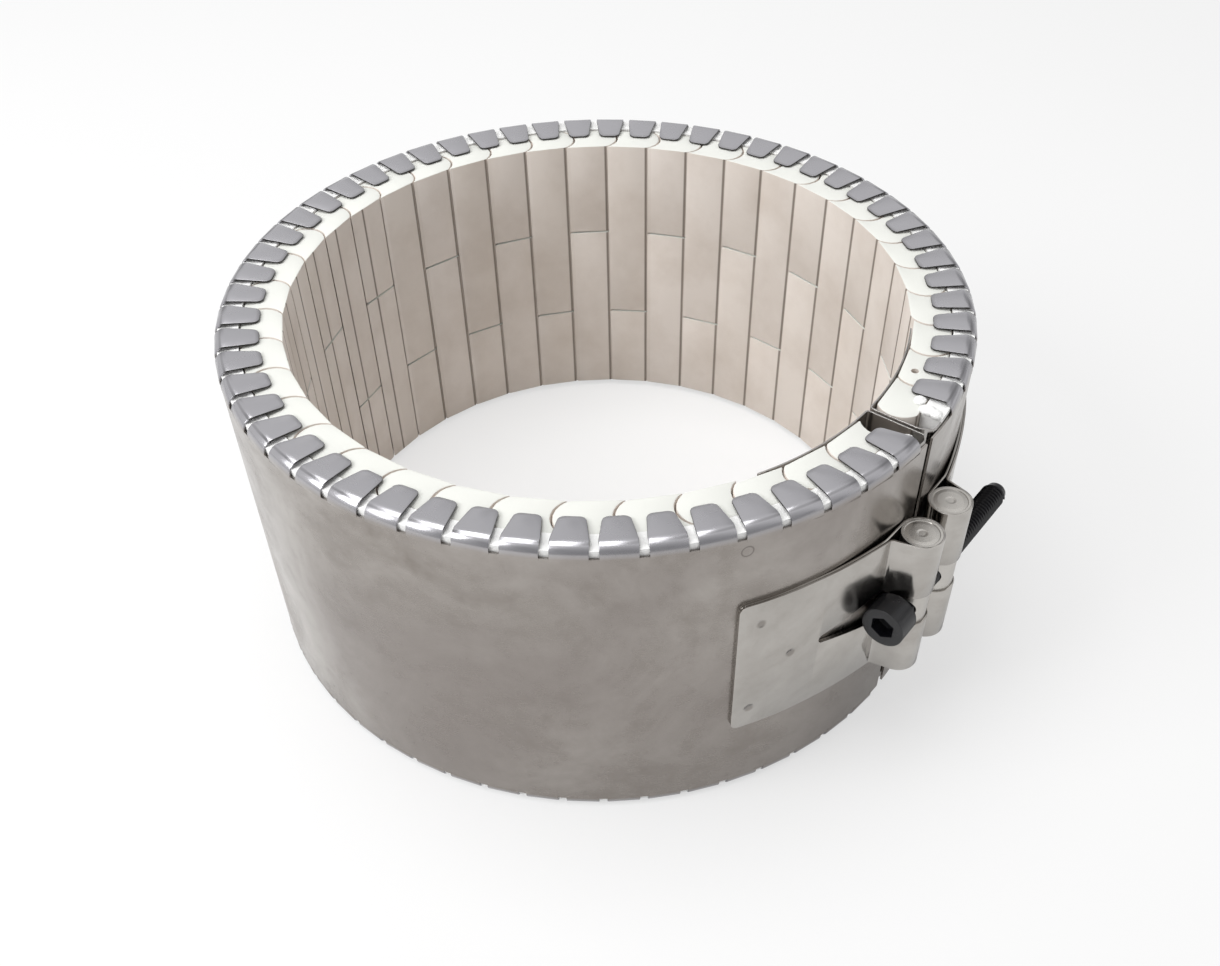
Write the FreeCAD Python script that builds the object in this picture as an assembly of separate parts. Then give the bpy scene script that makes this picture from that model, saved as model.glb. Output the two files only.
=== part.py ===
# Ceramic band heater: a steel sheath folded over a lining of ceramic tiles,
# closed round its bore by two straps, two barrels and one clamp screw.
# Millimetres. Z is the axis of the bore, Z = 0 the middle of its width,
# and the gap in the band faces +X. "Near" is the side of the gap towards -Y.
import FreeCAD, Part
import math
import os

V = FreeCAD.Vector
AXIS_Z = V(0, 0, 1)

# ---------------------------------------------------------------- driving sizes
BORE_D = 145.0            # bore of the closed band
LINING_WIDTH = 80.0       # width of the ceramic lining, rim to rim
COLUMNS = 40              # tile columns round the bore
TILE_T = 9.5              # radial thickness of a tile
LONG_TILE = 53.5          # length of the longer tile of a column
TILE_JOINT = 0.2          # play between neighbouring tiles
KNUCKLE_RISE = 3.0        # how far the rounded side of a tile bulges
KNUCKLE_FACETS = 3        # flats that the rounded side is made of
LINING_START = 2.9        # degrees, far end of the lining
LINING_END = 357.8        # degrees, near end of the lining
RECESSED_COLUMNS = 3      # columns behind each end flange
LEAD_HOLE_D = 1.7         # hole in the rim for a lead
LEAD_HOLE_DEPTH = 6.0
LEAD_HOLE_INSET = 3.6     # bore to the middle of that hole

BLANKET_T = 4.3           # radial thickness of the fibre blanket
BLANKET_PROUD = 0.15      # blanket above the tiles, under the tabs
BLANKET_START = 3.8       # degrees
BLANKET_END = 356.4       # degrees
FIT = 0.1                 # play between stacked layers
SHEET_T = 0.5             # sheath sheet
FOLD_HEIGHT = 1.5         # crest of the fold above the tiles
FOLD_R = 2.5              # outer radius of the fold
FOLD_FACETS = 3           # flats that the fold is made of
TAB_REACH = 9.8           # sheath outside to the tip of a tab
TABS = 57                 # tabs on each rim
FIRST_TAB = 9.2           # degrees, middle of the first tab
LAST_TAB = 354.6          # degrees, middle of the last tab
TAB_FOOT_W = 7.5          # width of a tab at the fold
TAB_TIP_W = 5.2           # width of a tab at its tip
TAB_INSET = 0.02          # root of a tab inside the faces of the wall
TAB_ROOT = 0.6            # depth of that root in the wall
SLOT_FOOT = 0.25          # bottom of a slot below the start of the fold
SKIN_START = 0.5          # degrees, far edge of the sheath
SKIN_END = 358.8          # degrees, near edge of the sheath

CHANNEL_T = 0.35          # sheet of the end channels
CHANNEL_PLAY = 0.35       # play between the end flanges and the tiles
END_GAP = 0.8             # between the two end walls
FLANGE_ANGLE = 25.5       # degrees of bore covered by each inner flange
LEG_ANGLE = 8.0           # degrees of outer leg tucked under the sheath
UNDER_FOLD = 1.0          # corner of the leg taken off under the fold
INNER_CORNER_R = 0.9      # corner between flange and end wall
NEAR_CORNER_R = 1.3       # outer corner of the near channel
FAR_CORNER_R = 3.2        # outer corner of the far channel

STRAP_T = 0.45            # strap sheet, folded double
STRAP_W = 39.0            # width of the straps and length of the barrels
CLAMP_Z = 1.2             # middle of the clamp above the middle of the band
STRAP_ANGLE = 33.0        # degrees from the gap to the welded end of a strap
LIFT_ANGLE = 22.0         # degrees from the gap where the strap leaves the sheath
NECK_LIFT = 0.8           # strap above the sheath at the neck of its loop
NECK_REACH = 6.4          # barrel axis to the neck of the loop
NECK_OPENING = 0.15        # the two layers stand apart at the neck
NECK_R = 1.2              # bend of the outer layer at the neck
STRAP_SEAM = 0.06         # between the two layers of a strap
STRAP_CORNER_R = 1.8      # corners of the welded end
WELD_PLAY = 0.02          # strap to sheath
WINDOW_H = 8.6            # opening of the loop for the screw
WINDOW_REACH = 9.0        # barrel axis to where the slot starts to taper
SLOT_TIP_R = 1.3          # rounded tip of the tapered slot
SLOT_ANGLE = 20.0         # degrees from the gap to the tip of the slot

BARREL_D = 8.8            # clamp barrels
BARREL_OUT = 4.85         # screw axis outside the sheath
NEAR_BARREL_Y = 6.9       # near barrel from the middle of the gap
FAR_BARREL_Y = 5.9        # far barrel from the middle of the gap
BARREL_PLAY = 0.03        # barrel in its loop, on the radius
SCREW_D = 6.0             # M6 socket head cap screw
SCREW_LENGTH = 50.0
HEAD_D = 10.0
HEAD_H = 6.0
HEAD_CHAMFER = 0.7
SOCKET_AF = 5.0
SOCKET_DEPTH = 3.2
SEAT_PLAY = 0.8           # screw head off the crown of its loop
CLEAR_HOLE_D = 6.8        # plain hole of the near barrel
THREAD_PLAY = 0.05        # screw thread in the far barrel, on the radius

TERMINAL_ANGLE = 180.0    # degrees, middle of the pair of terminals
TERMINAL_PITCH = 18.0     # between the two terminals, along the sheath
STUD_D = 4.0
STUD_LENGTH = 22.0        # stud beyond the sheath
TERMINAL_HOLE_D = 6.0     # hole in the sheath round a stud
BUSH_D = 11.0             # ceramic bush on the sheath
BUSH_T = 4.0
NUT_AF = 7.0
NUT_T = 3.2
LUG_SPACE = 1.6           # room for a lead between the two nuts

# ---------------------------------------------------------------- derived sizes
BORE_R = BORE_D / 2
HALF_LINING = LINING_WIDTH / 2
TILE_R = BORE_R + TILE_T
BLANKET_IN = TILE_R + FIT
BLANKET_OUT = BLANKET_IN + BLANKET_T
LEG_OUT = BLANKET_OUT + FIT + CHANNEL_T
SHEATH_IN = LEG_OUT + FIT
SHEATH_R = SHEATH_IN + SHEET_T
BARREL_X = SHEATH_R + BARREL_OUT
CREST_Z = HALF_LINING + FOLD_HEIGHT
WALL_TOP = CREST_Z - FOLD_R - SLOT_FOOT
TAB_TIP_R = SHEATH_R - TAB_REACH
TAB_T = SHEATH_R * math.cos(TAB_FOOT_W / 2 / SHEATH_R) - SHEATH_IN - 2 * TAB_INSET
COLUMN_STEP = (LINING_END - LINING_START) / COLUMNS
TAB_STEP = (LAST_TAB - FIRST_TAB) / (TABS - 1)
LOOP_IN = BARREL_D / 2 + BARREL_PLAY
LOOP_MID = LOOP_IN + STRAP_T / 2
LOOP_OUT = LOOP_IN + STRAP_T
CLAMP_BOTTOM = CLAMP_Z - STRAP_W / 2


def polar(radius, degrees, z=0.0):
    a = math.radians(degrees)
    return V(radius * math.cos(a), radius * math.sin(a), z)


def about(centre, radius, angle):
    """Point on a circle in plan, angle in radians."""
    return centre + V(math.cos(angle), math.sin(angle), 0) * radius


def heading(vector):
    return math.atan2(vector.y, vector.x)


def line(p, q):
    return Part.LineSegment(p, q).toShape()


def arc(p, mid, q):
    return Part.Arc(p, mid, q).toShape()


def outline(points):
    """Closed run of straight edges."""
    return [line(p, q) for p, q in zip(points, points[1:] + points[:1])]


def extruded(edges, height, z=0.0):
    face = Part.Face(Part.Wire(Part.__sortEdges__(edges)))
    face.translate(V(0, 0, z))
    return face.extrude(V(0, 0, height))


def turned(edges, start, end):
    """Revolve a profile drawn in the XZ plane from one angle to another."""
    face = Part.Face(Part.Wire(edges))
    face.rotate(V(), AXIS_Z, start)
    return face.revolve(V(), AXIS_Z, end - start)


def box_section(inner, outer, bottom, top):
    """Rectangle in the XZ plane, to be turned about the bore axis."""
    return outline([V(inner, 0, bottom), V(outer, 0, bottom), V(outer, 0, top), V(inner, 0, top)])


def tangentially(point, degrees, along):
    """Move a point along the tangent of its circle at the given angle."""
    a = math.radians(degrees)
    return point + V(-math.sin(a), math.cos(a), 0) * along


def upright(shape, x, y):
    """Edges parallel to Z at one place in plan."""
    found = []
    for edge in shape.Edges:
        ends = [v.Point for v in edge.Vertexes]
        if len(ends) == 2 and all(math.hypot(p.x - x, p.y - y) < 0.01 for p in ends):
            found.append(edge)
    return found


def save(name, shape):
    shape.exportStep("parts/%s.step" % name)
    print("%-22s %9.1f mm3" % (name, shape.Volume))


# ---------------------------------------------------------------- ceramic lining
def knuckle(degrees, play):
    """Rounded side of a tile from bore to back, bulging towards the far end."""
    half = TILE_T / 2
    radius = (half ** 2 + KNUCKLE_RISE ** 2) / (2 * KNUCKLE_RISE)
    swing = math.asin(half / radius)
    points = []
    for step in range(KNUCKLE_FACETS + 1):
        a = swing * (2.0 * step / KNUCKLE_FACETS - 1)
        bulge = radius * (math.cos(a) - math.cos(swing))
        middle = polar(BORE_R + half + radius * math.sin(a), degrees)
        points.append(tangentially(middle, degrees, play - bulge))
    return points


def column_plan(index):
    """Plan of one column: rounded on its far side, hollow on its near side."""
    far = LINING_START + index * COLUMN_STEP
    near = far + COLUMN_STEP
    far_side = knuckle(far, TILE_JOINT / 2)
    near_side = knuckle(near, -TILE_JOINT / 2)
    sides = [line(p, q) for side in (far_side, near_side) for p, q in zip(side, side[1:])]
    bore = arc(far_side[0], polar(BORE_R, (far + near) / 2), near_side[0])
    back = line(far_side[-1], near_side[-1])
    plan = Part.Face(Part.Wire(Part.__sortEdges__(sides + [bore, back])))
    if RECESSED_COLUMNS <= index < COLUMNS - RECESSED_COLUMNS:
        return plan
    recess = Part.makeCircle(BORE_R + CHANNEL_T + CHANNEL_PLAY)
    return plan.cut(Part.Face(Part.Wire(recess))).Faces[0]


def tile_column(index):
    """Two tiles end to end, with the long one down in every second column."""
    plan = column_plan(index)
    first = LINING_WIDTH - LONG_TILE if index % 2 else LONG_TILE
    tiles = []
    for bottom, top in ((0.0, first - TILE_JOINT / 2), (first + TILE_JOINT / 2, LINING_WIDTH)):
        tile = plan.copy()
        tile.translate(V(0, 0, bottom - HALF_LINING))
        tiles.append(tile.extrude(V(0, 0, top - bottom)))
    return tiles


def lead_hole():
    """Small hole in the upper rim, at the first joint past the gap."""
    place = polar(BORE_R + LEAD_HOLE_INSET, LINING_START + 1.17 * COLUMN_STEP,
                  HALF_LINING - LEAD_HOLE_DEPTH)
    return Part.makeCylinder(LEAD_HOLE_D / 2, 2 * LEAD_HOLE_DEPTH, place)


def insulation_blanket():
    top = HALF_LINING + BLANKET_PROUD
    return turned(box_section(BLANKET_IN, BLANKET_OUT, -top, top), BLANKET_START, BLANKET_END)


# ---------------------------------------------------------------- outer sheath
def fold_points(outside, radius, facets):
    """Points round the fold, from the top of the wall to the start of a tab."""
    reach = outside - TAB_TIP_R - FOLD_R
    turn = math.pi / 2 + math.atan2(FOLD_HEIGHT - FIT / 2 - TAB_T, reach)
    centre = V(outside - FOLD_R, 0, CREST_Z - FOLD_R)
    return [centre + V(math.cos(turn * i / facets), 0, math.sin(turn * i / facets)) * radius
            for i in range(facets + 1)]


def tab():
    """One tab at angle 0: rooted in the wall, folded over, sloping to the tiles."""
    outside = SHEATH_IN + TAB_INSET + TAB_T
    root = WALL_TOP - TAB_ROOT
    tip = V(TAB_TIP_R, 0, HALF_LINING + FIT / 2)
    section = [V(outside, 0, root)] + fold_points(outside, FOLD_R, FOLD_FACETS)
    section += [tip + V(0, 0, TAB_T), tip]
    section += fold_points(outside, FOLD_R - TAB_T, 2)[::-1] + [V(outside - TAB_T, 0, root)]
    face = Part.Face(Part.Wire(outline(section)))
    face.translate(V(0, -TAB_FOOT_W / 2, 0))
    half_foot, half_tip = TAB_FOOT_W / 2, TAB_TIP_W / 2
    plan = outline([V(SHEATH_R, -half_foot, 0), V(SHEATH_R, half_foot, 0),
                    V(TAB_TIP_R, half_tip, 0), V(TAB_TIP_R, -half_tip, 0)])
    return face.extrude(V(0, TAB_FOOT_W, 0)).common(extruded(plan, LINING_WIDTH))


def outer_sheath():
    """Rolled skin with its tabs folded over the lining on each rim."""
    wall = turned(box_section(SHEATH_IN, SHEATH_R, -WALL_TOP, WALL_TOP), SKIN_START, SKIN_END)
    pattern = tab()
    tabs = []
    for index in range(TABS):
        upper = pattern.copy()
        upper.rotate(V(), AXIS_Z, FIRST_TAB + index * TAB_STEP)
        tabs += [upper, upper.mirror(V(), AXIS_Z)]
    return wall.multiFuse(tabs).cut(terminal_holes())


# ---------------------------------------------------------------- end channels
def end_channel(corner_r):
    """Thin sheet round one end of the lining: bore flange, end wall, outer leg."""
    gap, wall = END_GAP / 2, END_GAP / 2 + CHANNEL_T

    def at(radius, y):
        return V(math.sqrt(radius ** 2 - y ** 2), y, 0)

    bore, leg = BORE_R, LEG_OUT
    bore_back, leg_back = bore + CHANNEL_T, leg - CHANNEL_T
    part = FLANGE_ANGLE / 2
    edges = [
        arc(polar(bore, FLANGE_ANGLE), polar(bore, part), at(bore, gap)),
        line(at(bore, gap), at(leg, gap)),
        arc(at(leg, gap), polar(leg, LEG_ANGLE / 2), polar(leg, LEG_ANGLE)),
        line(polar(leg, LEG_ANGLE), polar(leg_back, LEG_ANGLE)),
        arc(polar(leg_back, LEG_ANGLE), polar(leg_back, LEG_ANGLE / 2), at(leg_back, wall)),
        line(at(leg_back, wall), at(bore_back, wall)),
        arc(at(bore_back, wall), polar(bore_back, part), polar(bore_back, FLANGE_ANGLE)),
        line(polar(bore_back, FLANGE_ANGLE), polar(bore, FLANGE_ANGLE)),
    ]
    channel = extruded(edges, LINING_WIDTH, -HALF_LINING)
    for radius, corner in ((corner_r, at(leg, gap)), (corner_r - CHANNEL_T, at(leg_back, wall)),
                           (INNER_CORNER_R, at(bore, gap)),
                           (INNER_CORNER_R - CHANNEL_T, at(bore_back, wall))):
        channel = channel.makeFillet(radius, upright(channel, corner.x, corner.y))
    slope_foot = HALF_LINING - UNDER_FOLD - (SHEATH_R - leg)
    room = turned(outline([V(leg - UNDER_FOLD, 0, HALF_LINING), V(SHEATH_R, 0, HALF_LINING),
                           V(SHEATH_R, 0, slope_foot)]), 0, 360)
    return channel.cut([room, room.mirror(V(), AXIS_Z)])


# ---------------------------------------------------------------- clamp
def strap_route(barrel_y):
    """Fixed points of a strap's middle line, as the sheet runs out and back."""
    barrel = V(BARREL_X, barrel_y, 0)
    under = SHEATH_R + WELD_PLAY + STRAP_T / 2
    over = under + STRAP_T + STRAP_SEAM
    neck_angle = math.degrees(math.asin((barrel_y + NECK_REACH) / (under + NECK_LIFT)))
    neck_under = polar(under + NECK_LIFT, neck_angle)
    neck_over = polar(over + NECK_LIFT + NECK_OPENING, neck_angle)
    to_barrel = barrel - neck_under
    inner_touch = heading(to_barrel) - math.pi + math.acos(LOOP_MID / to_barrel.Length)
    bend = neck_over + polar(NECK_R, neck_angle)
    to_barrel = barrel - bend
    outer_touch = heading(to_barrel) - math.acos((NECK_R + LOOP_MID) / to_barrel.Length)
    return barrel, under, over, neck_angle, neck_under, inner_touch, bend, outer_touch


def lifted(neck, foot):
    """Gentle rise from the stretch that lies on the sheath up to the neck."""
    middle = math.degrees(heading(neck) + heading(foot)) / 2
    return arc(neck, polar(foot.Length + (neck.Length - foot.Length) / 3, middle), foot)


def strap_edge(barrel_y, offset):
    """One face of the sheet in plan, set off from its middle line."""
    barrel, under, over, neck_angle, neck_under, touch_in, bend, touch_out = strap_route(barrel_y)
    left = about(V(), 1, touch_in + math.pi)
    loop_r = LOOP_MID - offset
    neck = neck_under + left * offset
    on_in = about(barrel, loop_r, touch_in)
    on_out = about(barrel, loop_r, touch_out + math.pi)
    loop_far = about(barrel, loop_r, (touch_in + touch_out + math.pi) / 2)
    bend_r = NECK_R + offset
    neck_way = math.radians(neck_angle) - math.pi
    bend_start = about(bend, bend_r, touch_out)
    bend_end = about(bend, bend_r, neck_way)
    bend_mid = about(bend, bend_r, (touch_out + neck_way) / 2)
    lift_in, lift_out = polar(under + offset, LIFT_ANGLE), polar(over - offset, LIFT_ANGLE)
    middle = (STRAP_ANGLE + LIFT_ANGLE) / 2
    start, end = polar(under + offset, STRAP_ANGLE), polar(over - offset, STRAP_ANGLE)
    edges = [
        arc(start, polar(under + offset, middle), lift_in),
        lifted(neck, lift_in),
        line(neck, on_in),
        arc(on_in, loop_far, on_out),
        line(on_out, bend_start),
        arc(bend_start, bend_mid, bend_end),
        lifted(bend_end, lift_out),
        arc(lift_out, polar(over - offset, middle), end),
    ]
    return start, edges, end


def slot_cutter(barrel_y):
    """Window of the loop and the slot that tapers away from it, cut along X."""
    half = WINDOW_H / 2
    tip = polar(SHEATH_R, SLOT_ANGLE).y
    wide = barrel_y + WINDOW_REACH
    edges = [
        line(V(0, 0, -half), V(0, 0, half)),
        line(V(0, 0, half), V(0, wide, half)),
        line(V(0, wide, half), V(0, tip - SLOT_TIP_R, SLOT_TIP_R)),
        arc(V(0, tip - SLOT_TIP_R, SLOT_TIP_R), V(0, tip, 0), V(0, tip - SLOT_TIP_R, -SLOT_TIP_R)),
        line(V(0, tip - SLOT_TIP_R, -SLOT_TIP_R), V(0, wide, -half)),
        line(V(0, wide, -half), V(0, 0, -half)),
    ]
    face = Part.Face(Part.Wire(edges))
    face.translate(V(BORE_R, 0, CLAMP_Z))
    return face.extrude(V(BARREL_X, 0, 0))


def strap(barrel_y):
    """Doubled strap at the far side: welded stretch, neck and loop for a barrel."""
    start_a, edges_a, end_a = strap_edge(barrel_y, STRAP_T / 2)
    start_b, edges_b, end_b = strap_edge(barrel_y, -STRAP_T / 2)
    edges = edges_a + edges_b + [line(start_a, start_b), line(end_a, end_b)]
    sheet = extruded(edges, STRAP_W, CLAMP_BOTTOM)
    corners = [edge for edge in sheet.Edges
               if abs(edge.Length - STRAP_T) < 0.01
               and all(abs(math.degrees(heading(v.Point)) - STRAP_ANGLE) < 0.01 for v in edge.Vertexes)]
    return sheet.makeFillet(STRAP_CORNER_R, corners).cut(slot_cutter(barrel_y))


def barrel(y, hole_d):
    """Turned pin with a cross hole for the screw."""
    pin = Part.makeCylinder(BARREL_D / 2, STRAP_W, V(BARREL_X, y, CLAMP_BOTTOM))
    hole = Part.makeCylinder(hole_d / 2, 2 * BARREL_D, V(BARREL_X, y - BARREL_D, CLAMP_Z), V(0, 1, 0))
    return pin.cut(hole)


def clamp_screw():
    """Socket head cap screw, head on the near side, thread in the far barrel."""
    seat = -NEAR_BARREL_Y - LOOP_OUT - SEAT_PLAY
    way = V(0, 1, 0)
    shank = Part.makeCylinder(SCREW_D / 2, SCREW_LENGTH, V(BARREL_X, seat, CLAMP_Z), way)
    head = Part.makeCylinder(HEAD_D / 2, HEAD_H, V(BARREL_X, seat - HEAD_H, CLAMP_Z), way)
    rim = [e for e in head.Edges if abs(e.BoundBox.YMax - (seat - HEAD_H)) < 0.01]
    tail = [e for e in shank.Edges if abs(e.BoundBox.YMin - (seat + SCREW_LENGTH)) < 0.01]
    head = head.makeChamfer(HEAD_CHAMFER, rim)
    shank = shank.makeChamfer(HEAD_CHAMFER, tail)
    socket = hexagon(SOCKET_AF, SOCKET_DEPTH + 1)
    socket.rotate(V(), V(1, 0, 0), -90)
    socket.translate(V(BARREL_X, seat - HEAD_H - 1, CLAMP_Z))
    return head.fuse(shank).removeSplitter().cut(socket)


def hexagon(across_flats, height):
    radius = across_flats / math.sqrt(3)
    return extruded(outline([polar(radius, 60 * side) for side in range(6)]), height)


# ---------------------------------------------------------------- terminals
def at_terminal(shape, side):
    """Stand a shape made along Z on the sheath, side -1 or 1 of the pair."""
    angle = TERMINAL_ANGLE + side * math.degrees(TERMINAL_PITCH / 2 / SHEATH_R)
    placed = shape.copy()
    placed.rotate(V(), V(0, 1, 0), 90)
    placed.translate(V(SHEATH_R, 0, 0))
    placed.rotate(V(), AXIS_Z, angle)
    return placed


def disc(diameter, bottom, top):
    return Part.makeCylinder(diameter / 2, top - bottom, V(0, 0, bottom))


def terminal_pieces():
    """Bush, and stud with its nuts, on a local Z that starts at the sheath's outside."""
    bush = disc(BUSH_D, FIT, FIT + BUSH_T).cut(disc(STUD_D + 2 * FIT, 0, 2 * BUSH_T))
    foot = 2 * FIT + BUSH_T
    nuts = []
    for bottom in (foot, foot + NUT_T + LUG_SPACE):
        nut = hexagon(NUT_AF, NUT_T)
        nut.translate(V(0, 0, bottom))
        nuts.append(nut)
    return bush, disc(STUD_D, -SHEET_T, STUD_LENGTH).multiFuse(nuts).removeSplitter()


def terminal_holes():
    """Passages through the sheath for the studs."""
    return [at_terminal(disc(TERMINAL_HOLE_D, -2 * SHEET_T, SHEET_T), side) for side in (-1, 1)]


# ---------------------------------------------------------------- write the pieces
def main():
    os.makedirs("parts", exist_ok=True)
    save("outer_sheath", outer_sheath())
    save("insulation_blanket", insulation_blanket())
    for index in range(COLUMNS):
        tiles = tile_column(index)
        if index < 2:
            tiles = [tile.cut(lead_hole()) for tile in tiles]
        save("tile_column_%02d" % (index + 1), Part.makeCompound(tiles))
    mirror = V(0, 1, 0)
    save("end_channel_far", end_channel(FAR_CORNER_R))
    save("end_channel_near", end_channel(NEAR_CORNER_R).mirror(V(), mirror))
    save("strap_far", strap(FAR_BARREL_Y))
    save("strap_near", strap(NEAR_BARREL_Y).mirror(V(), mirror))
    save("barrel_far", barrel(FAR_BARREL_Y, SCREW_D + 2 * THREAD_PLAY))
    save("barrel_near", barrel(-NEAR_BARREL_Y, CLEAR_HOLE_D))
    save("clamp_screw", clamp_screw())
    for side, name in ((-1, "a"), (1, "b")):
        bush, stud = (at_terminal(piece, side) for piece in terminal_pieces())
        save("terminal_bush_" + name, bush)
        save("terminal_stud_" + name, stud)


main()
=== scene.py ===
import math

import bpy
from mathutils import Matrix, Vector


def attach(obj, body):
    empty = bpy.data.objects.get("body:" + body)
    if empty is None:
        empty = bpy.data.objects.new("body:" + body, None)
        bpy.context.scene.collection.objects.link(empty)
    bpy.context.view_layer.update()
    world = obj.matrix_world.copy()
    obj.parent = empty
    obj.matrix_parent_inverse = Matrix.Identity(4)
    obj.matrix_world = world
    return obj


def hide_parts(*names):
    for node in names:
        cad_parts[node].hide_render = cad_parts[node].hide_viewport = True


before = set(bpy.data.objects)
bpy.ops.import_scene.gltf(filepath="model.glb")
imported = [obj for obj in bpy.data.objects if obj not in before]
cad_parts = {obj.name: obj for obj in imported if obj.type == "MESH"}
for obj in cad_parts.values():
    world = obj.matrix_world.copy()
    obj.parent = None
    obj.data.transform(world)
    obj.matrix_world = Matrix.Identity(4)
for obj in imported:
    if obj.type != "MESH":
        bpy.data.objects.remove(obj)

MM = 0.001
bpy.context.scene.view_settings.view_transform = "Standard"
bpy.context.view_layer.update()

# ------------------------------------------------------------------ outer sheath
# One rolled sheet of thin stainless steel round the whole heater. Along both
# rims it is slit into tabs, and each tab is folded over the ceramic lining.
# Handling and rolling have left it smudged, with a faint grain round the band.
SHEATH_R = 87.45 * MM
SHEET = 0.5 * MM
WALL_TOP = 38.75 * MM
FOLD_R = 2.5 * MM
FOLD_FOOT = 39.0 * MM
TAB_FOOT, TAB_TIP = 7.5 * MM, 5.3 * MM
TAB_TURN = math.radians(97.2)
TAB_SLOPE = 7.25 * MM
TABS = 57
FIRST_TAB, LAST_TAB = 9.2, 354.6
WALL_START, WALL_END = 0.5, 358.75
ROOT_LAP, TAB_CORNER, TAB_SHEET = 0.6 * MM, 1.3 * MM, 0.42 * MM
STAMP_TURN, STAMP_Z, STAMP_R, STAMP_LINE = -32.3, 35.6 * MM, 1.25 * MM, 0.25 * MM


def nothing_selected():
    if bpy.context.object and bpy.context.object.mode != "OBJECT":
        bpy.ops.object.mode_set(mode="OBJECT")
    bpy.ops.object.select_all(action="DESELECT")


def name_it(name):
    """The primitive just added, under the name of its piece."""
    piece = bpy.context.object
    piece.name = piece.data.name = name
    return piece


def pick(piece, kind, test):
    """In edit mode, select only the vertices, edges or faces whose middle passes the test."""
    bpy.ops.mesh.select_mode(type=kind)
    bpy.ops.mesh.select_all(action="DESELECT")
    bpy.ops.object.mode_set(mode="OBJECT")
    mesh = piece.data
    if kind == "FACE":
        for face in mesh.polygons:
            face.select = test(face.center)
    elif kind == "EDGE":
        for edge in mesh.edges:
            a, b = (mesh.vertices[i].co for i in edge.vertices)
            edge.select = test((a + b) / 2)
    else:
        for vertex in mesh.vertices:
            vertex.select = test(vertex.co)
    bpy.ops.object.mode_set(mode="EDIT")


def place(piece):
    """Put the object's turn, scale and place into its mesh."""
    nothing_selected()
    piece.select_set(True)
    bpy.context.view_layer.objects.active = piece
    bpy.ops.object.transform_apply(location=True, rotation=True, scale=True)


def modify(piece, kind, **settings):
    """Add a modifier with these settings and apply it."""
    nothing_selected()
    bpy.context.view_layer.objects.active = piece
    piece.select_set(True)
    modifier = piece.modifiers.new(kind, kind)
    for key, value in settings.items():
        setattr(modifier, key, value)
    bpy.ops.object.modifier_apply(modifier=modifier.name)


def copies_round(piece, degrees):
    """A copy of the piece, with its own mesh, at each angle about the bore's axis."""
    made = []
    for angle in degrees:
        copy = bpy.data.objects.new(piece.name, piece.data.copy())
        bpy.context.collection.objects.link(copy)
        copy.data.transform(Matrix.Rotation(math.radians(angle), 4, "Z"))
        made.append(copy)
    return made


def joined(pieces, name):
    nothing_selected()
    for piece in pieces:
        piece.select_set(True)
    bpy.context.view_layer.objects.active = pieces[0]
    bpy.ops.object.join()
    return name_it(name)


def smooth(piece, degrees=35):
    nothing_selected()
    piece.select_set(True)
    bpy.context.view_layer.objects.active = piece
    bpy.ops.object.shade_smooth_by_angle(angle=math.radians(degrees))


def outward(piece):
    """Merge doubles and point every face outwards."""
    nothing_selected()
    bpy.context.view_layer.objects.active = piece
    bpy.ops.object.mode_set(mode="EDIT")
    bpy.ops.mesh.select_all(action="SELECT")
    bpy.ops.mesh.remove_doubles(threshold=1e-6)
    bpy.ops.mesh.normals_make_consistent(inside=False)
    bpy.ops.object.mode_set(mode="OBJECT")


def point_round(radius, degrees, height):
    """The point at this radius, angle about the bore's axis, and height."""
    a = math.radians(degrees)
    return radius * math.cos(a), radius * math.sin(a), height


def turn_of(point):
    """The point's angle about the bore's axis, from 0 to 360 degrees."""
    return math.degrees(math.atan2(point.y, point.x)) % 360


nothing_selected()
bpy.ops.mesh.primitive_cylinder_add(vertices=720, radius=SHEATH_R, depth=2 * WALL_TOP,
                                    end_fill_type="NOTHING")
wall = name_it("sheath_wall")
bpy.ops.object.mode_set(mode="EDIT")
pick(wall, "FACE", lambda c: not WALL_START < turn_of(c) < WALL_END)
bpy.ops.mesh.delete(type="FACE")
bpy.ops.object.mode_set(mode="OBJECT")
modify(wall, "SOLIDIFY", thickness=SHEET, offset=-1)

nothing_selected()
bpy.ops.mesh.primitive_plane_add(size=1, rotation=(0, math.pi / 2, 0),
                                 location=(SHEATH_R, 0, (WALL_TOP + FOLD_FOOT - ROOT_LAP) / 2))
tab = name_it("tab")
tab.scale = (FOLD_FOOT - WALL_TOP + ROOT_LAP, TAB_FOOT, 1)
place(tab)
bpy.ops.object.mode_set(mode="EDIT")
pick(tab, "EDGE", lambda c: c.z > FOLD_FOOT - 0.01 * MM)
bpy.ops.mesh.spin(steps=9, angle=TAB_TURN, center=(SHEATH_R - FOLD_R, 0, FOLD_FOOT), axis=(0, 1, 0))
down = TAB_TURN - math.pi / 2
bpy.ops.mesh.extrude_region_move(TRANSFORM_OT_translate={
    "value": (-TAB_SLOPE * math.cos(down), 0, -TAB_SLOPE * math.sin(down))})
bpy.ops.transform.resize(value=(1, TAB_TIP / TAB_FOOT, 1))
tip = SHEATH_R - FOLD_R - TAB_SLOPE * 0.98
pick(tab, "VERT", lambda c: c.x < tip)
bpy.ops.mesh.bevel(offset=TAB_CORNER, segments=5, affect="VERTICES")
bpy.ops.object.mode_set(mode="OBJECT")
outward(tab)
modify(tab, "SOLIDIFY", thickness=TAB_SHEET, offset=-1)
modify(tab, "BEVEL", width=0.14 * MM, segments=2, limit_method="ANGLE", angle_limit=math.radians(50))
step = (LAST_TAB - FIRST_TAB) / (TABS - 1)
tabs = joined(copies_round(tab, [FIRST_TAB + i * step for i in range(TABS)]), "sheath_tabs")
modify(tabs, "MIRROR", use_axis=(False, False, True))
bpy.data.objects.remove(tab)
sheath = joined([wall, tabs], "sheath")
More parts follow.
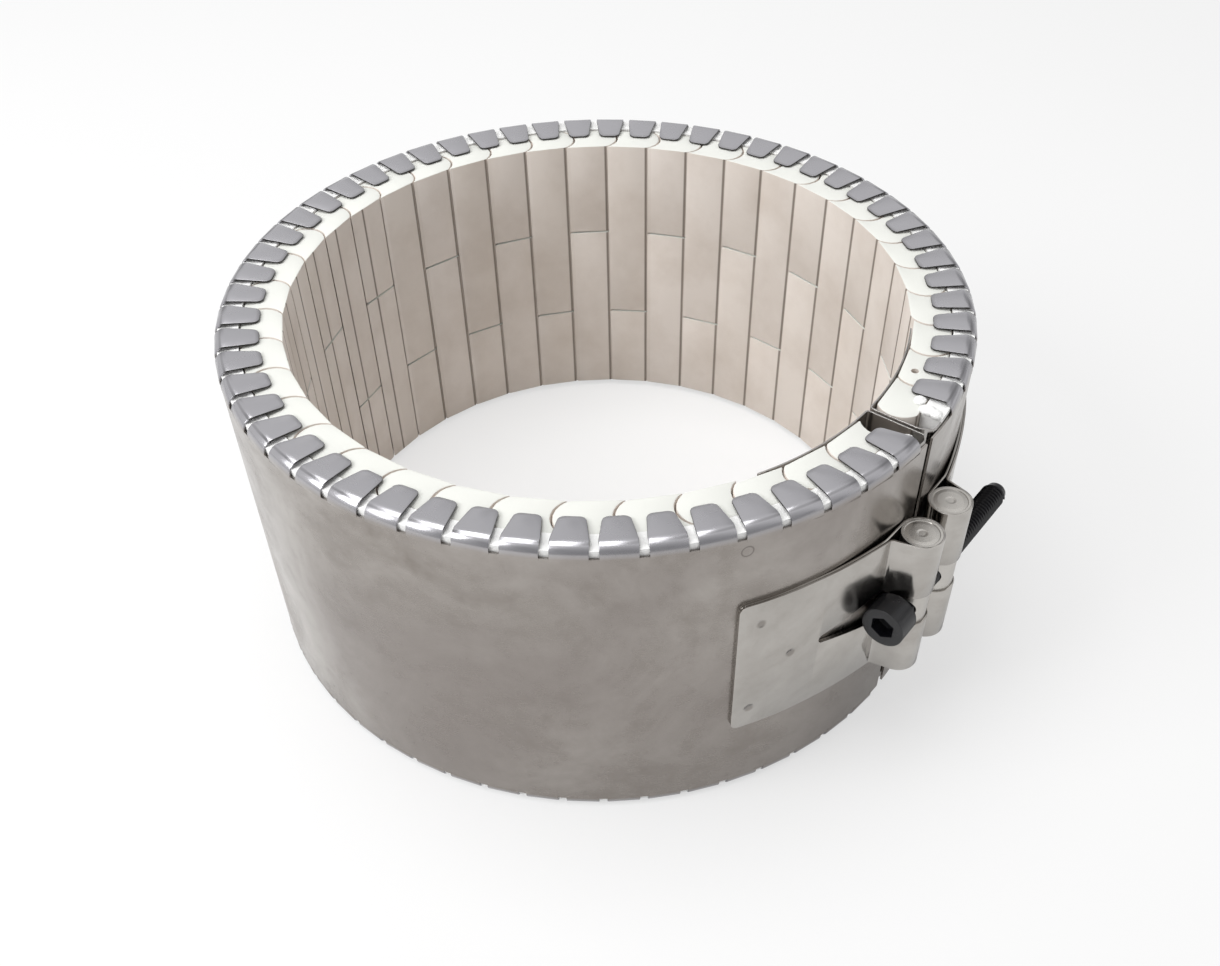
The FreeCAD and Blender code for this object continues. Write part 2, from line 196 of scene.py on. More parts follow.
smooth(sheath, 40)


def add(tree, kind, props=None, **inputs):
    """A shader node with its properties set and its inputs filled or linked."""
    made = tree.nodes.new("ShaderNode" + kind)
    for key, value in (props or {}).items():
        setattr(made, key, value)
    for key, value in inputs.items():
        socket = made.inputs[int(key[1:])] if key[1:].isdigit() else made.inputs[key.replace("_", " ")]
        if isinstance(value, bpy.types.NodeSocket):
            tree.links.new(value, socket)
        else:
            socket.default_value = value
    return made


def ramp(tree, value, low, high, start=0.0, end=1.0):
    return add(tree, "MapRange", {"clamp": True}, Value=value, From_Min=low, From_Max=high,
               To_Min=start, To_Max=end).outputs[0]


def mixed(tree, factor, a, b):
    return add(tree, "Mix", {"data_type": "RGBA"}, _0=factor, _6=a, _7=b).outputs[2]


def sums(tree, operation, a, b, c=0.0):
    return add(tree, "Math", {"operation": operation}, _0=a, _1=b, _2=c).outputs[0]


def new_finish(name):
    """An empty material: its tree, its shader and its Object coordinates."""
    material = bpy.data.materials.new(name)
    material.use_nodes = True
    tree = material.node_tree
    where = tree.nodes.new("ShaderNodeTexCoord").outputs["Object"]
    return material, tree, tree.nodes["Principled BSDF"], where


def bumped(tree, shader, strength, depth, height):
    """A light relief from this height, with its depth in millimetres."""
    bump = add(tree, "Bump", Strength=strength, Distance=depth * MM, Height=height)
    tree.links.new(bump.outputs[0], shader.inputs["Normal"])


def new_group(name, inputs, outputs):
    """An empty node group: the group, what it is given, and what it puts out."""
    group = bpy.data.node_groups.new(name, "ShaderNodeTree")
    for label, kind in inputs:
        group.interface.new_socket(label, in_out="INPUT", socket_type="NodeSocket" + kind)
    for label, kind in outputs:
        group.interface.new_socket(label, in_out="OUTPUT", socket_type="NodeSocket" + kind)
    return group, group.nodes.new("NodeGroupInput").outputs, group.nodes.new("NodeGroupOutput").inputs


# Handled metal: cloudy smudges, small prints and fine grain, for every bare steel piece.
handled, given, result = new_group(
    "handled metal",
    [("Vector", "Vector"), ("Grain Vector", "Vector"), ("Clean", "Color"), ("Dull", "Color"),
     ("Roughness", "Float"), ("Smudge", "Float")],
    [("Color", "Color"), ("Roughness", "Float"), ("Height", "Float")])
clouds = add(handled, "TexNoise", Vector=given["Vector"], Scale=28.0, Detail=6.0, Roughness=0.62,
             Distortion=0.7).outputs[0]
prints = add(handled, "TexNoise", Vector=given["Vector"], Scale=210.0, Detail=4.0, Roughness=0.6).outputs[0]
grain = add(handled, "TexNoise", Vector=given["Grain Vector"], Scale=1.0, Detail=3.0, Roughness=0.7).outputs[0]
cloudy = ramp(handled, clouds, 0.36, 0.64)
speck = ramp(handled, prints, 0.45, 0.75)
worn = sums(handled, "MULTIPLY", sums(handled, "MULTIPLY_ADD", speck, 0.35, cloudy), given["Smudge"])
handled.links.new(mixed(handled, worn, given["Clean"], given["Dull"]), result["Color"])
uneven = sums(handled, "MULTIPLY_ADD", worn, 0.22, given["Roughness"])
handled.links.new(sums(handled, "MULTIPLY_ADD", sums(handled, "SUBTRACT", grain, 0.5), 0.12, uneven),
                  result["Roughness"])
handled.links.new(grain, result["Height"])


def round_band(tree, where, along, across):
    """Coordinates that run round the band, so that grain follows the rolled sheet."""
    xyz = add(tree, "SeparateXYZ", Vector=where).outputs
    angle = sums(tree, "ARCTAN2", xyz[1], xyz[0])
    return add(tree, "CombineXYZ", X=sums(tree, "MULTIPLY", angle, along),
               Y=sums(tree, "MULTIPLY", xyz[2], across), Z=0.0).outputs[0]


def steel(name, clean, dull, roughness, smudge, along=14.0, across=2600.0, depth=0.012):
    """Bare steel sheet on the handled metal group, with a light bump from the grain."""
    material, tree, shader, where = new_finish(name)
    look = add(tree, "Group", {"node_tree": handled}, Vector=where,
               Grain_Vector=round_band(tree, where, along, across),
               Clean=(*clean, 1), Dull=(*dull, 1), Roughness=roughness, Smudge=smudge)
    tree.links.new(look.outputs["Color"], shader.inputs["Base Color"])
    tree.links.new(look.outputs["Roughness"], shader.inputs["Roughness"])
    bumped(tree, shader, 0.25, depth, look.outputs["Height"])
    shader.inputs["Metallic"].default_value = 1.0
    return material, tree, shader, where, look


sheath_steel, tree, shader, where, look = steel(
    "sheath steel", (0.40, 0.375, 0.35), (0.21, 0.185, 0.165), 0.17, 0.62)
xyz = add(tree, "SeparateXYZ", Vector=where).outputs
height = sums(tree, "ABSOLUTE", xyz[2], 0.0)
broad = add(tree, "TexNoise", Vector=where, Scale=9.0, Detail=3.0, Roughness=0.5, Distortion=1.0).outputs[0]
tone = mixed(tree, ramp(tree, broad, 0.40, 0.62, 0, 0.7), look.outputs["Color"], (0.235, 0.21, 0.195, 1))
# Painted sheen: the folded rim and tabs, the same steel as the wall, are painted lighter and cooler where they
# face up into the light.
tone = mixed(tree, sums(tree, "MULTIPLY", ramp(tree, height, 38.6 * MM, 40.2 * MM), 0.8), tone,
             (0.42, 0.42, 0.45, 1))
reach = sums(tree, "SQRT", sums(tree, "ADD", sums(tree, "MULTIPLY", xyz[0], xyz[0]),
                                sums(tree, "MULTIPLY", xyz[1], xyz[1])), 0.0)
facing = sums(tree, "ABSOLUTE", add(tree, "SeparateXYZ",
                                    Vector=add(tree, "NewGeometry").outputs["Normal"]).outputs[2], 0.0)
# Painted shade: the bevelled edges and sides of the tabs are painted near black, a painted shadow line round
# each tab.
tab_edge_painted_shade = sums(tree, "MULTIPLY", ramp(tree, reach, 85.6 * MM, 86.2 * MM, 1.0, 0.0),
                ramp(tree, facing, 0.88, 0.975, 1.0, 0.0))
tone = mixed(tree, tab_edge_painted_shade, tone, (0.05, 0.048, 0.046, 1))
stamp = add(tree, "VectorMath", {"operation": "DISTANCE"}, _0=where,
            _1=point_round(SHEATH_R, STAMP_TURN, STAMP_Z)).outputs["Value"]
ring = sums(tree, "MULTIPLY", ramp(tree, stamp, STAMP_R - STAMP_LINE, STAMP_R),
            ramp(tree, stamp, STAMP_R, STAMP_R + STAMP_LINE, 1.0, 0.0))
tone = mixed(tree, sums(tree, "MULTIPLY", ring, 0.7), tone, (0.10, 0.09, 0.08, 1))
tree.links.new(tone, shader.inputs["Base Color"])
sheath.data.materials.clear()
sheath.data.materials.append(sheath_steel)
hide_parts("outer_sheath")
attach(sheath, "band")

# ------------------------------------------------------------------ fibre blanket
# Soft white ceramic fibre, pressed between the tiles and the sheath. It is cut
# from a roll, so its rims are loose and slightly lumpy in the slots between tabs.
BLANKET_R, BLANKET_T, BLANKET_TOP = 86.8 * MM, 4.7 * MM, 40.3 * MM
BLANKET_START, BLANKET_END = 3.8, 356.4
# each loose tuft: its angle, its radius and its half sizes in millimetres
TUFTS = ((4.6, 83.2, (2.0, 1.5, 0.8)), (6.3, 80.4, (1.3, 1.6, 0.5)), (4.3, 85.2, (1.4, 1.2, 0.9)),
         (8.2, 81.0, (1.0, 1.2, 0.45)), (357.0, 84.0, (1.3, 1.6, 0.6)),
         (354.5, 80.6, (1.1, 1.5, 0.4)))

nothing_selected()
bpy.ops.mesh.primitive_cylinder_add(vertices=720, radius=BLANKET_R, depth=2 * BLANKET_TOP,
                                    end_fill_type="NOTHING")
blanket = name_it("fibre_blanket")
bpy.ops.object.mode_set(mode="EDIT")
pick(blanket, "FACE", lambda c: not BLANKET_START < turn_of(c) < BLANKET_END)
bpy.ops.mesh.delete(type="FACE")
bpy.ops.object.mode_set(mode="OBJECT")
modify(blanket, "SOLIDIFY", thickness=BLANKET_T, offset=-1)
bpy.ops.object.mode_set(mode="EDIT")
pick(blanket, "EDGE", lambda c: abs(c.z) > BLANKET_TOP - 0.01 * MM and
     BLANKET_R - BLANKET_T * 0.6 < math.hypot(c.x, c.y) < BLANKET_R - BLANKET_T * 0.4)
bpy.ops.mesh.subdivide(number_cuts=4)
pick(blanket, "VERT", lambda c: abs(c.z) > BLANKET_TOP - 0.01 * MM and
     BLANKET_R - BLANKET_T * 0.97 < math.hypot(c.x, c.y) < BLANKET_R - BLANKET_T * 0.03)
bpy.ops.transform.vertex_random(offset=0.2 * MM, seed=5)
bpy.ops.object.mode_set(mode="OBJECT")
tufts = []
for theta, radius, size in TUFTS:
    nothing_selected()
    bpy.ops.mesh.primitive_ico_sphere_add(
        subdivisions=4, radius=MM, rotation=(0, 0, math.radians(theta)),
        location=point_round(radius * MM, theta, BLANKET_TOP - 0.1 * MM))
    tuft = name_it("tuft")
    tuft.scale = size
    place(tuft)
    bpy.ops.object.mode_set(mode="EDIT")
    bpy.ops.mesh.select_all(action="SELECT")
    bpy.ops.transform.vertex_random(offset=0.12 * MM, seed=len(tufts) + 2)
    bpy.ops.object.mode_set(mode="OBJECT")
    tufts.append(tuft)
blanket = joined([blanket, *tufts], "fibre_blanket")
smooth(blanket, 60)

fibre, tree, shader, where = new_finish("ceramic fibre")
tuft = add(tree, "TexNoise", Vector=where, Scale=900.0, Detail=6.0, Roughness=0.7, Distortion=1.2).outputs[0]
lump = add(tree, "TexNoise", Vector=where, Scale=240.0, Detail=2.0).outputs[0]
tree.links.new(mixed(tree, ramp(tree, lump, 0.35, 0.7), (0.95, 0.95, 0.94, 1), (0.88, 0.88, 0.87, 1)),
               shader.inputs["Base Color"])
bumped(tree, shader, 0.7, 0.3, sums(tree, "ADD", tuft, lump))
shader.inputs["Roughness"].default_value = 1.0
blanket.data.materials.append(fibre)
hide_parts("insulation_blanket")
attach(blanket, "band")

# ------------------------------------------------------------------ ceramic tiles
# Forty columns of dry-pressed steatite round the bore, a long and a short tile
# in each, with the joint high and low by turns. One side of a tile is rounded
# and sits in the hollow side of the next, so that the lining hinges open.
BORE_R, TILE_T, KNUCKLE = 72.5 * MM, 9.5 * MM, 3.0 * MM
HALF_WIDTH, LONG_TILE = 40 * MM, 53.5 * MM
COLUMNS, LINING_START, LINING_END = 40, 2.9, 357.8
JOINT, EASED = 0.34 * MM, 0.38 * MM
RECESS, END_COLUMNS = 0.7 * MM, 3
LEAD_HOLE_R, LEAD_HOLE_AT, LEAD_HOLE_COLUMN = 0.85 * MM, 76.1 * MM, 1.17
COLUMN_STEP = (LINING_END - LINING_START) / COLUMNS


def tile_pair(long_below, recessed):
    """The two tiles of a column that starts at angle 0: a knuckle swept round the bore."""
    half = TILE_T / 2
    radius = (half ** 2 + KNUCKLE ** 2) / (2 * KNUCKLE)
    swing = math.asin(half / radius)
    first = math.asin((half - RECESS) / radius) if recessed else swing
    centre = Vector((BORE_R + half, radius * math.cos(swing), 0))
    middle = (LONG_TILE if long_below else 2 * HALF_WIDTH - LONG_TILE) - HALF_WIDTH
    pair = []
    for bottom, top in ((-HALF_WIDTH, middle - JOINT / 2), (middle + JOINT / 2, HALF_WIDTH)):
        start = centre + Vector((-radius * math.sin(first), -radius * math.cos(first), (bottom + top) / 2))
        nothing_selected()
        bpy.ops.mesh.primitive_plane_add(size=1, location=start, rotation=(0, math.pi / 2, 0))
        tile = name_it("tile")
        tile.scale = (top - bottom, MM, 1)
        place(tile)
        bpy.ops.object.mode_set(mode="EDIT")
        pick(tile, "VERT", lambda c: c.y > start.y)
        bpy.ops.mesh.delete(type="VERT")
        bpy.ops.mesh.select_all(action="SELECT")
        bpy.ops.transform.translate(value=(0, 0.5 * MM, 0))
        bpy.ops.mesh.spin(steps=9, angle=first + swing, center=centre, axis=(0, 0, -1))
        bpy.ops.mesh.select_all(action="SELECT")
        sweep = math.radians(COLUMN_STEP) - JOINT / BORE_R
        bpy.ops.mesh.spin(steps=1, angle=sweep, center=(0, 0, 0), axis=(0, 0, -1))
        bpy.ops.object.mode_set(mode="OBJECT")
        outward(tile)
        modify(tile, "BEVEL", width=EASED, segments=2, limit_method="ANGLE",
               angle_limit=math.radians(38))
        pair.append(tile)
    return joined(pair, "tile_pair")


columns = []
for long_below in (True, False):
    for recessed in (True, False):
        pattern = tile_pair(long_below, recessed)
        wanted = [i for i in range(COLUMNS) if (i % 2 == 0) == long_below
                  and (i < END_COLUMNS or i >= COLUMNS - END_COLUMNS) == recessed]
        columns += copies_round(pattern, [LINING_START + i * COLUMN_STEP for i in wanted])
        bpy.data.objects.remove(pattern)
lining = joined(columns, "tile_lining")
nothing_selected()
bpy.ops.mesh.primitive_cylinder_add(
    vertices=32, radius=LEAD_HOLE_R, depth=12 * MM,
    location=point_round(LEAD_HOLE_AT, LINING_START + LEAD_HOLE_COLUMN * COLUMN_STEP, HALF_WIDTH))
lead_hole = name_it("lead_hole")
place(lead_hole)
modify(lining, "BOOLEAN", operation="DIFFERENCE", object=lead_hole, solver="EXACT")
bpy.data.objects.remove(lead_hole)
smooth(lining, 40)

steatite, tree, shader, where = new_finish("steatite")
xyz = add(tree, "SeparateXYZ", Vector=where).outputs
degrees = sums(tree, "MULTIPLY", sums(tree, "ARCTAN2", xyz[1], xyz[0]), 180 / math.pi)
column = sums(tree, "FLOOR", sums(tree, "DIVIDE", sums(tree, "SUBTRACT", degrees, LINING_START - 1.2),
                                  COLUMN_STEP), 0.0)
own = add(tree, "TexWhiteNoise", {"noise_dimensions": "1D"}, W=column).outputs[0]
cloud = add(tree, "TexNoise", Vector=where, Scale=45.0, Detail=5.0, Roughness=0.6).outputs[0]
speck = add(tree, "TexNoise", Vector=where, Scale=1500.0, Detail=2.0).outputs[0]
pink = mixed(tree, own, (0.74, 0.68, 0.63, 1), (0.70, 0.64, 0.585, 1))
pink = mixed(tree, ramp(tree, cloud, 0.42, 0.75, 0, 0.7), pink, (0.57, 0.50, 0.44, 1))
across = sums(tree, "FRACT", sums(tree, "DIVIDE", sums(tree, "SUBTRACT", degrees, LINING_START),
                                  COLUMN_STEP), 0.0)
to_joint = sums(tree, "ABSOLUTE", sums(tree, "SUBTRACT", across, 0.5), 0.0)
pink = mixed(tree, ramp(tree, to_joint, 0.462, 0.485, 0, 0.85), pink, (0.16, 0.125, 0.10, 1))
facing = add(tree, "SeparateXYZ", Vector=add(tree, "NewGeometry").outputs["Normal"]).outputs[2]
upward = ramp(tree, sums(tree, "ABSOLUTE", facing, 0.0), 0.35, 0.8)
tree.links.new(mixed(tree, upward, pink, (0.735, 0.74, 0.70, 1)), shader.inputs["Base Color"])
tree.links.new(ramp(tree, cloud, 0.3, 0.7, 0.62, 0.8), shader.inputs["Roughness"])
bumped(tree, shader, 0.3, 0.05, sums(tree, "ADD", speck, cloud))
lining.data.materials.append(steatite)
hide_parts(*["tile_column_%02d" % (i + 1) for i in range(COLUMNS)])
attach(lining, "band")


# ------------------------------------------------------------------ end channels
# A thin sheet is bent round each end of the lining: a flange over the first
# tiles of the bore, the end wall in the gap, and a leg tucked under the sheath.
def from_frame(node, name, bevel, smooth_at=35):
    """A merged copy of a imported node, with its sharp edges eased."""
    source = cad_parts[node]
    piece = bpy.data.objects.new(name, source.data.copy())
    bpy.context.collection.objects.link(piece)
    nothing_selected()
    piece.select_set(True)
    bpy.context.view_layer.objects.active = piece
    bpy.ops.object.mode_set(mode="EDIT")
    bpy.ops.mesh.select_all(action="SELECT")
    bpy.ops.mesh.remove_doubles(threshold=1e-6)
    bpy.ops.mesh.dissolve_limited(angle_limit=math.radians(0.5))
    bpy.ops.object.mode_set(mode="OBJECT")
    if bevel:
        modify(piece, "BEVEL", width=bevel * MM, segments=2, limit_method="ANGLE",
               angle_limit=math.radians(50))
    smooth(piece, smooth_at)
    piece.data.materials.clear()
    return piece


channel_steel = steel("channel steel", (0.42, 0.405, 0.39), (0.30, 0.285, 0.27), 0.15, 0.5)[0]
for side in ("far", "near"):
    channel = from_frame("end_channel_" + side, "channel_" + side, 0.05)
    channel.data.materials.append(channel_steel)
    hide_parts("end_channel_" + side)
    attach(channel, "band")

# ------------------------------------------------------------------ straps
# A strip of bright sheet is folded double round each barrel and spot welded to
# the sheath. It has a window for the screw and a slot that tapers away from it.
strap_steel, tree, shader, where, look = steel(
    "strap steel", (0.50, 0.48, 0.455), (0.30, 0.28, 0.255), 0.085, 0.55)
# each spot weld: its angle and its height in millimetres
WELDS = ((-29.7, 14.4), (-24.5, 1.4), (-30.4, -12.4), (29.7, 14.4), (30.4, -12.4))
WELD_AT = 88.4 * MM
weld_mask = None
for theta, z in WELDS:
    reach = add(tree, "VectorMath", {"operation": "DISTANCE"}, _0=where,
                _1=point_round(WELD_AT, theta, z * MM)).outputs["Value"]
    dent = ramp(tree, reach, 0.7 * MM, 1.3 * MM, 1.0, 0.0)
    weld_mask = dent if weld_mask is None else sums(tree, "MAXIMUM", weld_mask, dent)
tree.links.new(mixed(tree, sums(tree, "MULTIPLY", weld_mask, 0.6), look.outputs["Color"],
                     (0.17, 0.15, 0.135, 1)), shader.inputs["Base Color"])
dimple = add(tree, "Bump", {"invert": True}, Strength=0.8, Distance=0.25 * MM, Height=weld_mask,
             Normal=shader.inputs["Normal"].links[0].from_socket)
tree.links.new(dimple.outputs[0], shader.inputs["Normal"])
for side in ("far", "near"):
    strap = from_frame("strap_" + side, "strap_sheet_" + side, 0.08, 30)
    strap.data.materials.append(strap_steel)
    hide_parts("strap_" + side)
    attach(strap, "band")

# ------------------------------------------------------------------ barrels
# Two turned steel pins sit in the loops of the straps. The screw crosses both:
# the near one has a plain hole and the far one is threaded.
BARREL_X, CLAMP_Z, BARREL_HALF = 92.3 * MM, 1.2 * MM, 19.5 * MM
BARREL_Y = {"far": 5.9 * MM, "near": -6.9 * MM}
# each ring turned on a barrel's end: its depth and its width in millimetres
END_RINGS = ((0, 0.30), (0, 0.25), (-0.12, 0.12), (0.08, 0.9), (0, 1.6), (-0.06, 0.5))


def turned(tree, shader, where, clean, dull, roughness):
    """Bare turned steel on the handled metal group, with a fine even grain."""
    fine = add(tree, "VectorMath", {"operation": "SCALE"}, _0=where, Scale=1800.0).outputs[0]
    look = add(tree, "Group", {"node_tree": handled}, Vector=where, Grain_Vector=fine,
               Clean=(*clean, 1), Dull=(*dull, 1), Roughness=roughness, Smudge=0.4)
    tree.links.new(look.outputs["Color"], shader.inputs["Base Color"])
    tree.links.new(look.outputs["Roughness"], shader.inputs["Roughness"])
    shader.inputs["Metallic"].default_value = 1.0
    return look


turned_steel, tree, shader, where = new_finish("turned steel")
look = turned(tree, shader, where, (0.56, 0.54, 0.51), (0.40, 0.38, 0.35), 0.24)
bumped(tree, shader, 0.3, 0.02, look.outputs["Height"])

for side, y in BARREL_Y.items():
    pin = from_frame("barrel_" + side, "barrel_pin_" + side, 0)
    bpy.ops.object.mode_set(mode="EDIT")
    for depth, inset in END_RINGS:
        pick(pin, "FACE", lambda c: abs(abs(c.z - CLAMP_Z) - BARREL_HALF) < 0.25 * MM
             and math.hypot(c.x - BARREL_X, c.y - y) < 0.05 * MM)
        bpy.ops.mesh.inset(thickness=inset * MM, depth=depth * MM)
    bpy.ops.object.mode_set(mode="OBJECT")
    modify(pin, "BEVEL", width=0.16 * MM, segments=3, limit_method="ANGLE",
           angle_limit=math.radians(60))
    smooth(pin, 35)
    pin.data.materials.append(turned_steel)
    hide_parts("barrel_" + side)
    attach(pin, "band")

# ------------------------------------------------------------------ clamp screw
# An M6 socket head cap screw in black oxide, turned with a 5 mm hexagon key.
# Its knurled head bears on the near loop, and its tail stands out of the far barrel.
LOOP_R, SEAT_PLAY = 4.88 * MM, 0.8 * MM
SEAT_Y = BARREL_Y["near"] - LOOP_R - SEAT_PLAY
SCREW_LENGTH, HEAD_H, HEAD_R = 50 * MM, 6 * MM, 5 * MM
KEY_FLATS, KEY_DEPTH = 5 * MM, 3.2 * MM
SHANK_R, SHANK_SHORT = 2.45 * MM, 0.02 * MM
PITCH, THREAD_TURNS = 1 * MM, 47
THREAD_AT, THREAD_START, RIDGE_R = 2.36 * MM, 0.8 * MM, 0.62 * MM

nothing_selected()
bpy.ops.mesh.primitive_cylinder_add(vertices=72, radius=HEAD_R - 0.02 * MM, depth=HEAD_H,
                                    location=(0, 0, -HEAD_H / 2))
head = name_it("head")
place(head)
bpy.ops.object.mode_set(mode="EDIT")
pick(head, "FACE", lambda c: abs(c.z + HEAD_H / 2) < MM)
bpy.ops.mesh.inset(thickness=0.05 * MM, depth=0, use_individual=False)
bpy.ops.mesh.inset(thickness=0.08 * MM, depth=-0.05 * MM, use_individual=True)
pick(head, "FACE", lambda c: c.z < -HEAD_H + 0.01 * MM and math.hypot(c.x, c.y) < 0.1 * MM)
bpy.ops.mesh.inset(thickness=0.55 * MM, depth=0)
bpy.ops.object.mode_set(mode="OBJECT")
nothing_selected()
bpy.ops.mesh.primitive_cylinder_add(vertices=6, radius=KEY_FLATS / math.sqrt(3), depth=2 * KEY_DEPTH,
                                    location=(0, 0, -HEAD_H))
key_hole = name_it("key_hole")
place(key_hole)
modify(head, "BOOLEAN", operation="DIFFERENCE", object=key_hole, solver="EXACT")
bpy.data.objects.remove(key_hole)
modify(head, "BEVEL", width=0.3 * MM, segments=3, limit_method="ANGLE", angle_limit=math.radians(70))

nothing_selected()
bpy.ops.mesh.primitive_cylinder_add(vertices=40, radius=SHANK_R, depth=SCREW_LENGTH - SHANK_SHORT,
                                    location=(0, 0, (SCREW_LENGTH - SHANK_SHORT) / 2))
shank = name_it("shank")
place(shank)
modify(shank, "BEVEL", width=0.9 * MM, segments=4, limit_method="ANGLE", angle_limit=math.radians(70))
nothing_selected()
bpy.ops.mesh.primitive_circle_add(vertices=3, radius=RIDGE_R, fill_type="NOTHING",
                                  location=(THREAD_AT, 0, THREAD_START),
                                  rotation=(math.pi / 2, math.pi / 2, 0))
thread = name_it("thread")
place(thread)
modify(thread, "SCREW", angle=math.tau, screw_offset=PITCH, iterations=THREAD_TURNS, steps=36,
       render_steps=36, axis="Z", use_merge_vertices=False)
outward(thread)
screw = joined([head, shank, thread], "cap_screw")
screw.rotation_euler = (-math.pi / 2, 0, 0)
screw.location = (BARREL_X, SEAT_Y, CLAMP_Z)
place(screw)
smooth(screw, 30)

black_oxide, tree, shader, where = new_finish("black oxide")
wear = add(tree, "TexNoise", Vector=where, Scale=380.0, Detail=5.0, Roughness=0.65).outputs[0]
tree.links.new(mixed(tree, ramp(tree, wear, 0.55, 0.85), (0.006, 0.006, 0.008, 1),
                     (0.02, 0.019, 0.02, 1)), shader.inputs["Base Color"])
tree.links.new(ramp(tree, wear, 0.3, 0.7, 0.14, 0.28), shader.inputs["Roughness"])
shader.inputs["Metallic"].default_value = 0.0
bumped(tree, shader, 0.3, 0.03, wear)
screw.data.materials.append(black_oxide)
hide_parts("clamp_screw")
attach(screw, "clamp_screw")

# ------------------------------------------------------------------ terminals
# Two threaded studs carry the leads on the far side of the band, each through
# a glazed ceramic bush, with one nut to hold it and one to clamp a ring lug.
STUD_PITCH = 0.7 * MM

glaze, tree, shader, where = new_finish("glazed ceramic")
cloud = add(tree, "TexNoise", Vector=where, Scale=260.0, Detail=4.0).outputs[0]
tree.links.new(mixed(tree, ramp(tree, cloud, 0.35, 0.7), (0.80, 0.79, 0.74, 1),
                     (0.72, 0.70, 0.64, 1)), shader.inputs["Base Color"])
tree.links.new(ramp(tree, cloud, 0.3, 0.7, 0.12, 0.3), shader.inputs["Roughness"])
bumped(tree, shader, 0.2, 0.05, cloud)

stud_steel, tree, shader, where = new_finish("stud steel")
spread = sums(tree, "ABSOLUTE", add(tree, "SeparateXYZ", Vector=where).outputs[0], 0.0)
pitch = sums(tree, "SINE", sums(tree, "MULTIPLY", spread, math.tau / STUD_PITCH), 0.0)
turned(tree, shader, where, (0.52, 0.50, 0.47), (0.36, 0.34, 0.31), 0.25)
bumped(tree, shader, 0.6, 0.15, pitch)

for side in ("a", "b"):
    bush = from_frame("terminal_bush_" + side, "bush_" + side, 0.5)
    bush.data.materials.append(glaze)
    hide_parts("terminal_bush_" + side)
    stud = from_frame("terminal_stud_" + side, "stud_" + side, 0.15)
    stud.data.materials.append(stud_steel)
    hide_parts("terminal_stud_" + side)
    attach(bush, "band")
    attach(stud, "band")

# ------------------------------------------------------------------ floor and light
# A plain pale floor that the heater stands on, soft lamps overhead and to the
# left, and a world that reads as white. Bare metal sees less of the floor's glow
# than the eye does, and sees darker patches in the world.
FLOOR_Z = -41.5 * MM


def seen_rays(tree):
    """The Light Path outputs, and a mask of the rays that see the background."""
    path = add(tree, "LightPath").outputs
    either = sums(tree, "MAXIMUM", path["Is Camera Ray"], path["Is Glossy Ray"])
    return path, sums(tree, "MAXIMUM", either, path["Is Transmission Ray"])


nothing_selected()
bpy.ops.mesh.primitive_plane_add(size=6, location=(0, 0, FLOOR_Z))
floor = name_it("floor")
floor_paint, tree, shader, where = new_finish("floor paint")
even = add(tree, "TexNoise", Vector=where, Scale=3.0, Detail=2.0).outputs[0]
tree.links.new(mixed(tree, even, (0.88, 0.88, 0.88, 1), (0.90, 0.90, 0.90, 1)),
               shader.inputs["Base Color"])
shader.inputs["Roughness"].default_value = 0.9
path, seen = seen_rays(tree)
glow = add(tree, "Emission", Color=(1, 1, 1, 1), Strength=0.95)
share = sums(tree, "MULTIPLY_ADD", path["Is Camera Ray"], 0.37, sums(tree, "MULTIPLY", seen, 0.25))
blend = add(tree, "MixShader", _0=share, _1=shader.outputs[0], _2=glow.outputs[0])
tree.links.new(blend.outputs[0], tree.nodes["Material Output"].inputs["Surface"])
floor.data.materials.append(floor_paint)

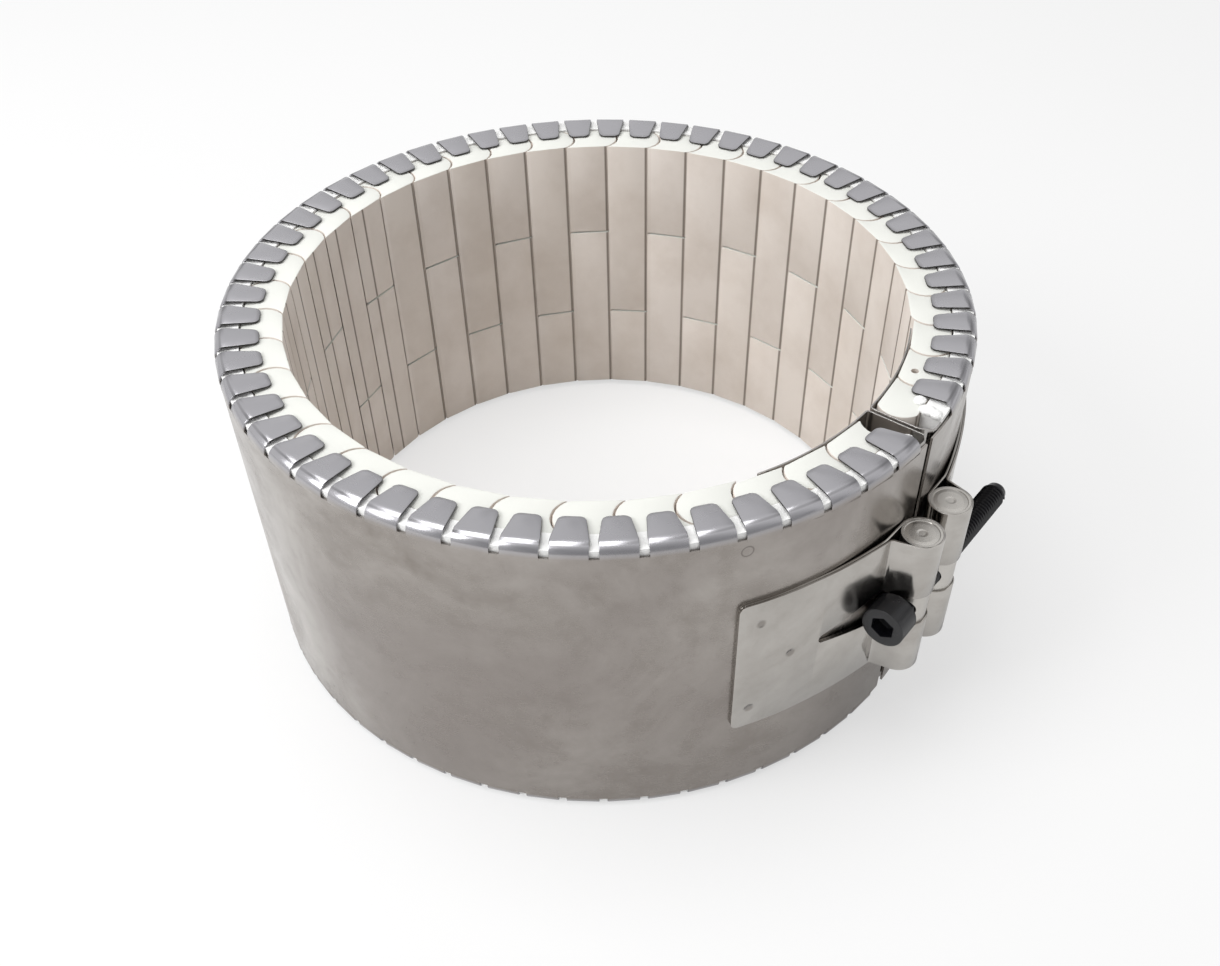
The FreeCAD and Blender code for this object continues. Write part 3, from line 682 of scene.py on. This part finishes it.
world = bpy.data.worlds.new("studio")
bpy.context.scene.world = world
world.use_nodes = True
tree = world.node_tree
back = tree.nodes["Background"]
path, seen = seen_rays(tree)
tree.links.new(sums(tree, "MULTIPLY_ADD", seen, 0.48, 0.52), back.inputs["Strength"])
toward = add(tree, "TexCoord").outputs["Generated"]
patch = add(tree, "TexNoise", Vector=toward, Scale=1.6, Detail=1.0, Roughness=0.4).outputs[0]
side = add(tree, "VectorMath", {"operation": "DOT_PRODUCT"}, _0=toward,
           _1=(0.75, -0.65, 0.1)).outputs["Value"]
dark = sums(tree, "MAXIMUM", ramp(tree, side, 0.35, 0.95, 0.0, 0.6),
            ramp(tree, patch, 0.5, 0.62, 0.0, 0.55))
tree.links.new(mixed(tree, sums(tree, "MULTIPLY", dark, path["Is Glossy Ray"]), (1, 1, 1, 1),
                     (0.12, 0.12, 0.13, 1)), back.inputs["Color"])


def lamp(name, place_at, aim, size, power):
    """A square soft lamp that points at aim."""
    light = bpy.data.lights.new(name, "AREA")
    light.size = size
    light.energy = power
    made = bpy.data.objects.new(name, light)
    bpy.context.collection.objects.link(made)
    made.location = place_at
    made.rotation_euler = (Vector(aim) - Vector(place_at)).to_track_quat("-Z", "Y").to_euler()


lamp("overhead", (-0.20, -0.10, 0.95), (0, 0, 0), 0.6, 5.0)
lamp("left", (-0.35, -0.70, 0.60), (0, 0, 0), 0.45, 4.5)

# ------------------------------------------------------------------ camera
# It looks down on the heater from the clamp's side, past the near wall into the
# bore, and its turn about the bore's axis is applied last.
LENS, SHIFT_X, SHIFT_Y = 36.38, -0.0240, 0.0523
VIEW_AZIMUTH, VIEW_ELEVATION, VIEW_ROLL = 37.5, 44.603, -0.138
VIEW_DISTANCE, VIEW_RIGHT, VIEW_UP = 317.106 * MM, 9.630 * MM, -31.348 * MM
elevation = math.radians(VIEW_ELEVATION)
forward = Vector((0, math.cos(elevation), -math.sin(elevation)))
right = Vector((1, 0, 0))
up = Vector((0, math.sin(elevation), math.cos(elevation)))
roll = math.radians(VIEW_ROLL)
axes = Matrix((math.cos(roll) * right + math.sin(roll) * up,
               math.cos(roll) * up - math.sin(roll) * right, -forward)).transposed()
round_bore = Matrix.Rotation(math.radians(VIEW_AZIMUTH), 4, "Z")
camera_data = bpy.data.cameras.new("camera")
camera_data.sensor_width = 36
camera_data.lens = LENS
camera_data.shift_x = SHIFT_X
camera_data.shift_y = SHIFT_Y
camera_data.clip_start = 0.01
camera = bpy.data.objects.new("camera", camera_data)
bpy.context.collection.objects.link(camera)
eye = -forward * VIEW_DISTANCE + right * VIEW_RIGHT + up * VIEW_UP
camera.matrix_world = round_bore @ Matrix.Translation(eye) @ axes.to_4x4()
bpy.context.scene.camera = camera
